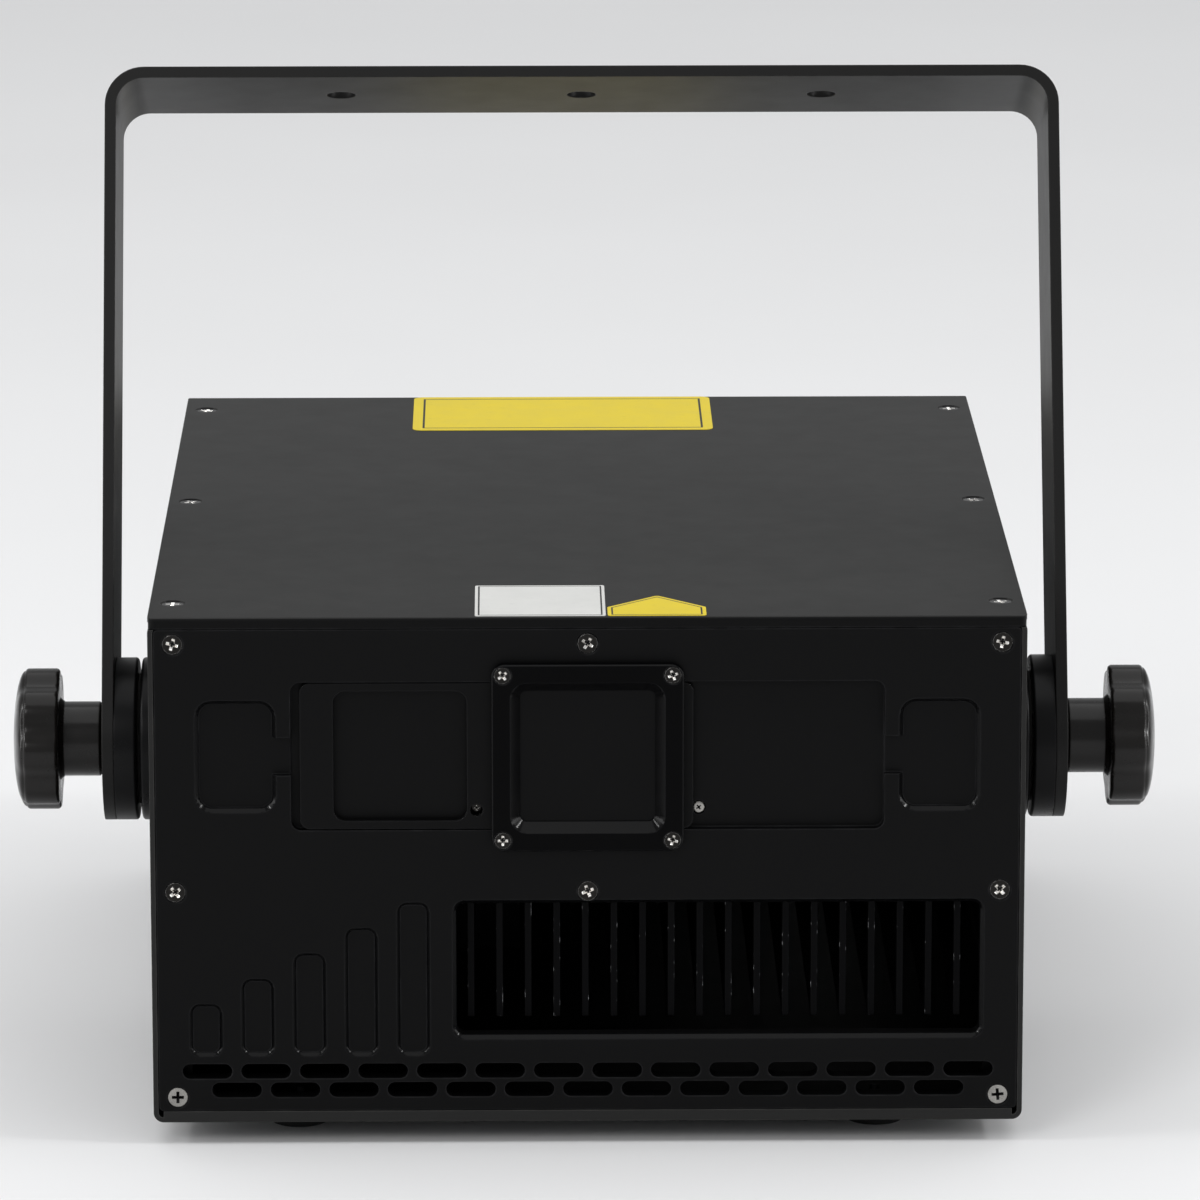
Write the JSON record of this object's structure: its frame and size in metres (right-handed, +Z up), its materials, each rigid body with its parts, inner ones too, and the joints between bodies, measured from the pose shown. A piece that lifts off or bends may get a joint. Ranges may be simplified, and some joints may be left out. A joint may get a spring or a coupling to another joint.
{
  "type": "laser show projector",
  "caption": "Black box-shaped laser show projector with a sliding aperture shutter, finned heatsink window, tilting yoke with clamp knobs, rubber feet and rear sockets.",
  "frame": {"origin": "middle of the whole outline, on the surface the rubber feet stand on", "axes": "+X to the right seen from the front, +Y to the back, +Z up"},
  "size_m": [0.3514, 0.33, 0.3019],
  "materials": {
    "black_powder_coat": "satin black powder coat",
    "yoke_paint": "satin black paint",
    "black_anodised": "black anodised",
    "turned_black": "turned, satin black",
    "friction_fibre": "grey friction fibre",
    "knob_plastic": "glossy moulded plastic",
    "screw_nickel": "nickel plated",
    "foot_rubber": "matt black rubber",
    "clear_glass": "clear coated glass",
    "bare_aluminium": "bare milled",
    "laser_case": "dark anodised",
    "mirror_coat": "coated",
    "board_green": "solder mask",
    "fan_black": "moulded",
    "socket_black": "moulded",
    "rocker_black": "moulded",
    "key_chrome": "plated",
    "socket_steel": "plated shell",
    "display_pane": "tinted pane",
    "button_black": "moulded"
  },
  "bodies": {
    "housing": {"chassis_tray": "black_powder_coat", "top_lid": "black_powder_coat", "front_panel": "black_powder_coat", "rear_panel": "black_powder_coat", "heatsink": "black_anodised", "aperture_bezel": "black_anodised", "pivot_boss_left": "turned_black", "pivot_boss_right": "turned_black", "friction_washers": "friction_fibre", "front_panel_screws": "screw_nickel", "lid_screws": "screw_nickel", "bezel_screws": "screw_nickel", "window_screws": "screw_nickel", "rear_panel_screws": "screw_nickel", "fan_screws": "screw_nickel", "foot_screws": "screw_nickel", "boss_nuts": "screw_nickel", "rubber_feet": "foot_rubber", "window_glass": "clear_glass", "bench_rails": "bare_aluminium", "window_holder": "bare_aluminium", "bench_standoffs": "bare_aluminium", "panel_standoffs": "bare_aluminium", "mirror_mounts": "bare_aluminium", "galvo_block": "bare_aluminium", "power_supply": "bare_aluminium", "red_laser": "laser_case", "green_laser": "laser_case", "blue_laser": "laser_case", "scan_motor_x": "laser_case", "scan_motor_y": "laser_case", "combining_mirrors": "mirror_coat", "scan_driver_board": "board_green", "laser_driver_board": "board_green", "control_board": "board_green", "fan_frame": "fan_black", "power_inlet": "socket_black", "power_switch": "socket_black", "data_input": "socket_black", "data_output": "socket_black", "key_switch": "key_chrome", "signal_socket": "socket_steel", "display_window": "display_pane"},
    "yoke": {"yoke": "yoke_paint", "friction_disc_left": "turned_black", "friction_disc_right": "turned_black"},
    "knob_left": {"knob_left": "knob_plastic", "knob_stud_left": "screw_nickel"},
    "knob_right": {"knob_right": "knob_plastic", "knob_stud_right": "screw_nickel"},
    "shutter": {"shutter_slide": "black_anodised"},
    "fan_rotor": {"fan_rotor": "fan_black"},
    "scan_mirror_x": {"scan_mirror_x": "mirror_coat"},
    "scan_mirror_y": {"scan_mirror_y": "mirror_coat"},
    "key_barrel": {"key_barrel": "key_chrome"},
    "power_rocker": {"power_rocker": "rocker_black"},
    "menu_button_1": {"menu_button_1": "button_black"},
    "menu_button_2": {"menu_button_2": "button_black"},
    "menu_button_3": {"menu_button_3": "button_black"},
    "menu_button_4": {"menu_button_4": "button_black"}
  },
  "joints": [
    {"name": "yoke_tilt", "type": "hinge", "parent": "housing", "child": "yoke", "pos_m": [0, -0.0673, 0.1017], "axis": [1, 0, 0], "range_deg": [-37.5, 132.5]},
    {"name": "knob_left_turn", "type": "hinge", "parent": "housing", "child": "knob_left", "pos_m": [0, -0.0673, 0.1017], "axis": [-1, 0, 0], "range_deg": [0, 540]},
    {"name": "knob_right_turn", "type": "hinge", "parent": "housing", "child": "knob_right", "pos_m": [0, -0.0673, 0.1017], "axis": [1, 0, 0], "range_deg": [0, 540]},
    {"name": "shutter_travel", "type": "slide", "parent": "housing", "child": "shutter", "axis": [1, 0, 0], "range_m": [0, 0.0556]},
    {"name": "fan_spin", "type": "hinge", "parent": "housing", "child": "fan_rotor", "pos_m": [0.064, 0.1462, 0.065], "axis": [0, 1, 0], "continuous": true},
    {"name": "scan_x", "type": "hinge", "parent": "housing", "child": "scan_mirror_x", "pos_m": [0, -0.1198, 0.107], "axis": [0, 1, 0], "range_deg": [-12, 12]},
    {"name": "scan_y", "type": "hinge", "parent": "housing", "child": "scan_mirror_y", "pos_m": [0, -0.1198, 0.12], "axis": [1, 0, 0], "range_deg": [-12, 12]},
    {"name": "key_turn", "type": "hinge", "parent": "housing", "child": "key_barrel", "pos_m": [0.106, 0.1582, 0.131], "axis": [0, -1, 0], "range_deg": [0, 90]},
    {"name": "rocker_tip", "type": "hinge", "parent": "housing", "child": "power_rocker", "pos_m": [-0.046, 0.1582, 0.041], "axis": [0, 0, 1], "range_deg": [0, 16]},
    {"name": "menu_button_1_press", "type": "slide", "parent": "housing", "child": "menu_button_1", "axis": [0, -1, 0], "range_m": [0, 0.001], "stiffness_N_per_m": 400, "springref_m": -0.001},
    {"name": "menu_button_2_press", "type": "slide", "parent": "housing", "child": "menu_button_2", "axis": [0, -1, 0], "range_m": [0, 0.001], "stiffness_N_per_m": 400, "springref_m": -0.001},
    {"name": "menu_button_3_press", "type": "slide", "parent": "housing", "child": "menu_button_3", "axis": [0, -1, 0], "range_m": [0, 0.001], "stiffness_N_per_m": 400, "springref_m": -0.001},
    {"name": "menu_button_4_press", "type": "slide", "parent": "housing", "child": "menu_button_4", "axis": [0, -1, 0], "range_m": [0, 0.001], "stiffness_N_per_m": 400, "springref_m": -0.001}
  ]
}
